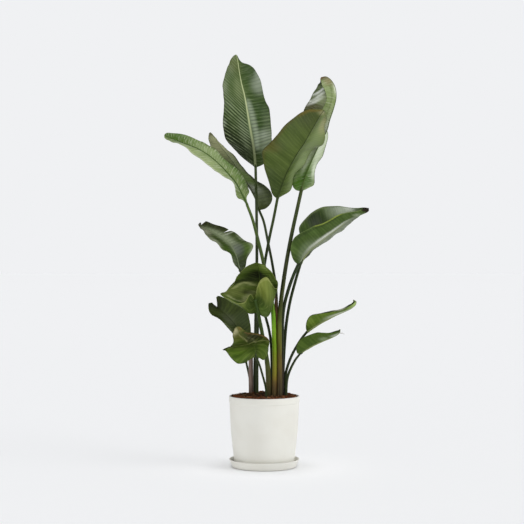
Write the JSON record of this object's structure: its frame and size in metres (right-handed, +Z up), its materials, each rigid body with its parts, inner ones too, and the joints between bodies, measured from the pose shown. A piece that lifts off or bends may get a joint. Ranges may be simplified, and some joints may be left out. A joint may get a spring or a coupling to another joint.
{
  "type": "potted bird of paradise plant",
  "caption": "Leafy white bird of paradise plant with tall paddle leaves on long stalks, standing in soil in a tapered off-white pot on a saucer.",
  "frame": {"origin": "the middle of the saucer's flat underside", "axes": "+Z up, towards the tip of the tallest leaf; +X to the right and -Y towards the viewer of the picture"},
  "size_m": [0.797, 0.3706, 1.6641],
  "materials": {
    "pot_ceramic": "smooth matte",
    "soil": "rough bark and coir",
    "leaf_deep": "waxy, satin",
    "leaf_middle": "waxy, satin",
    "leaf_fresh": "waxy, satin",
    "new_leaf": "satin",
    "dry_sheath": "dry, matte"
  },
  "bodies": {
    "root": {"saucer": "pot_ceramic", "pot": "pot_ceramic", "soil": "soil", "new_leaf": "new_leaf", "dry_sheath": "dry_sheath", "leaf_tall_middle": "leaf_deep", "leaf_light_left": "leaf_fresh", "leaf_broad_front": "leaf_middle", "leaf_tall_right": "leaf_middle", "leaf_dark_back": "leaf_deep", "leaf_split_left": "leaf_middle", "leaf_hooded": "leaf_middle", "leaf_low_front": "leaf_middle", "leaf_boat_right": "leaf_deep", "leaf_behind_right": "leaf_middle", "leaf_small_upper": "leaf_fresh", "leaf_small_lower": "leaf_middle", "leaf_low_left": "leaf_deep"}
  },
  "joints": []
}
